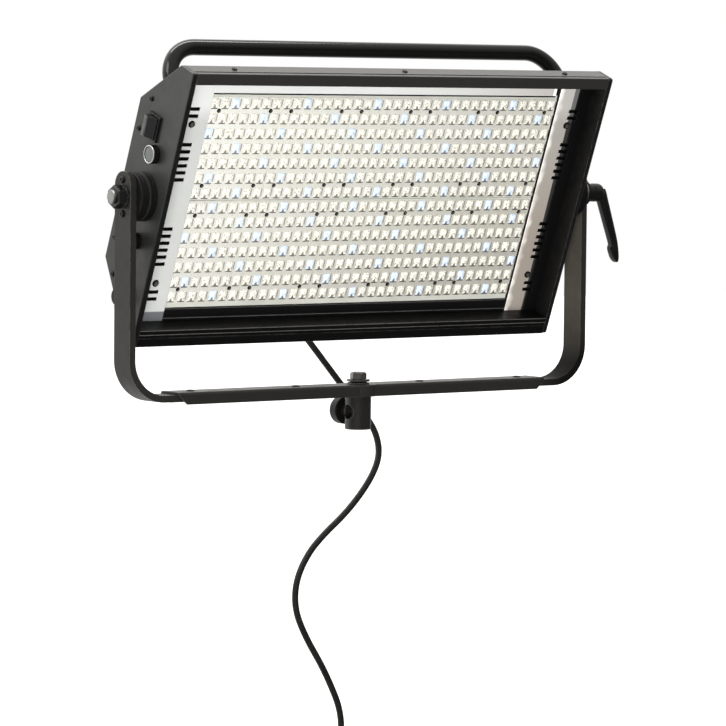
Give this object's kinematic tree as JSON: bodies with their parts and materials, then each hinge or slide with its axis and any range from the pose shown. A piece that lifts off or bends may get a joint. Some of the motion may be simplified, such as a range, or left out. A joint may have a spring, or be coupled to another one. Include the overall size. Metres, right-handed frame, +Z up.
{
  "type": "led panel light",
  "caption": "Studio LED panel light: box head with a lens grid face, carry handle and side controls, tilting in a U yoke on a stand receiver, with its power cord.",
  "frame": {"origin": "centre of the stand socket's mouth, at the bottom of the receiver", "axes": "+Z up along the socket, away from the stand; the lamp face looks towards -Y, tilted down; +X along the lamp's width, towards the tilt lever"},
  "size_m": [0.6981, 0.2317, 0.966],
  "materials": {
    "housing_grey": "fine textured powder coat",
    "bar_brown": "satin",
    "face_black": "satin",
    "yoke_grey": "satin powder coat",
    "handle_black": "gloss",
    "receiver_black": "satin",
    "hub_black": "fine grain",
    "rocker_grey": "satin",
    "button_grey": "grained",
    "lever_black": "fine texture",
    "steel": "machined",
    "screw_black": "black oxide",
    "screw_bright": "bright",
    "slip_washer": "nylon",
    "reflector": "polished",
    "heat_sink": "extruded",
    "board_white": "solder mask",
    "board_green": "solder mask",
    "supply_case": "pressed",
    "lens_clear": "clear moulded",
    "cord_black": "matt"
  },
  "bodies": {
    "stand_receiver": {"stand_receiver": "receiver_black", "swivel_bolt": "steel", "swivel_washers": "steel", "swivel_slip_washer": "slip_washer"},
    "receiver_lock": {"receiver_lock_screw": "steel", "receiver_lock_knob": "hub_black"},
    "yoke": {"yoke_crossbar": "yoke_grey", "yoke_arm_left": "yoke_grey", "yoke_arm_right": "yoke_grey", "yoke_screws": "screw_black", "pivot_hubs": "hub_black", "pivot_washer_right": "steel", "pivot_cone_spacer": "hub_black", "power_cord": "cord_black", "cord_coil": "cord_black", "cord_tie": "slip_washer", "cord_tail": "cord_black", "cord_plug": "cord_black", "plug_pins": "screw_bright"},
    "tilt_insert": {"tilt_lock_insert": "steel"},
    "tilt_lever": {"tilt_lever": "lever_black", "tilt_lever_cap": "lever_black"},
    "head": {"friction_washers": "slip_washer", "pivot_bosses": "hub_black", "pivot_bolt_left": "steel", "pivot_nut_left": "steel", "pivot_stud_right": "steel", "end_plate_left": "housing_grey", "end_plate_right": "housing_grey", "end_plate_screws": "screw_black", "top_bar": "bar_brown", "bottom_bar": "bar_brown", "cover_screws": "screw_black", "cover_brackets": "heat_sink", "back_cover": "housing_grey", "led_tray": "face_black", "side_rails": "face_black", "cross_rails": "face_black", "reflector_strips": "reflector", "face_screws": "screw_bright", "led_boards": "board_white", "lens_plates": "lens_clear", "heat_sink": "heat_sink", "power_supply": "supply_case", "driver_board": "board_green", "carry_handle": "handle_black", "handle_feet": "handle_black", "handle_bolts": "steel", "switch_bezel": "hub_black", "button_barrel": "hub_black", "button_ring": "screw_bright", "control_pots": "hub_black", "panel_nuts": "steel", "cord_gland": "hub_black", "strain_relief_boot": "cord_black"},
    "rocker": {"power_rocker": "rocker_grey"},
    "button": {"power_button": "button_grey"},
    "dimmer": {"dimmer_knob": "hub_black"},
    "colour": {"colour_knob": "hub_black"}
  },
  "joints": [
    {"name": "yoke_pan", "type": "hinge", "parent": "stand_receiver", "child": "yoke", "pos_m": [0, 0, 0.0488], "axis": [0, 0, 1], "range_deg": [-180, 180]},
    {"name": "receiver_lock_turn", "type": "hinge", "parent": "stand_receiver", "child": "receiver_lock", "pos_m": [0, 0.02, 0.0195], "axis": [0, 1, 0], "range_deg": [-360, 360]},
    {"name": "head_tilt", "type": "hinge", "parent": "yoke", "child": "head", "pos_m": [0, 0, 0.2587], "axis": [1, 0, 0], "range_deg": [-111, 69], "deforming": ["power_cord"]},
    {"name": "tilt_lock_turn", "type": "hinge", "parent": "yoke", "child": "tilt_insert", "pos_m": [0.3333, 0, 0.2587], "axis": [1, 0, 0], "range_deg": [-180, 180]},
    {"name": "tilt_lever_lift", "type": "slide", "parent": "tilt_insert", "child": "tilt_lever", "axis": [1, 0, 0], "range_m": [0, 0.004], "stiffness_N_per_m": 600, "springref_m": -0.003},
    {"name": "power_rocker_press", "type": "hinge", "parent": "head", "child": "rocker", "pos_m": [-0.283, -0.01857, 0.33249], "axis": [0, -0.3633, 0.9317], "range_deg": [-12, 0]},
    {"name": "power_button_press", "type": "slide", "parent": "head", "child": "button", "axis": [1, 0, 0], "range_m": [0, 0.0018], "stiffness_N_per_m": 800, "springref_m": -0.001},
    {"name": "dimmer_turn", "type": "hinge", "parent": "head", "child": "dimmer", "pos_m": [-0.291, 0.01314, 0.21123], "axis": [1, 0, 0], "range_deg": [0, 300]},
    {"name": "colour_turn", "type": "hinge", "parent": "head", "child": "colour", "pos_m": [-0.291, 0.03768, 0.15103], "axis": [1, 0, 0], "range_deg": [0, 300]}
  ]
}
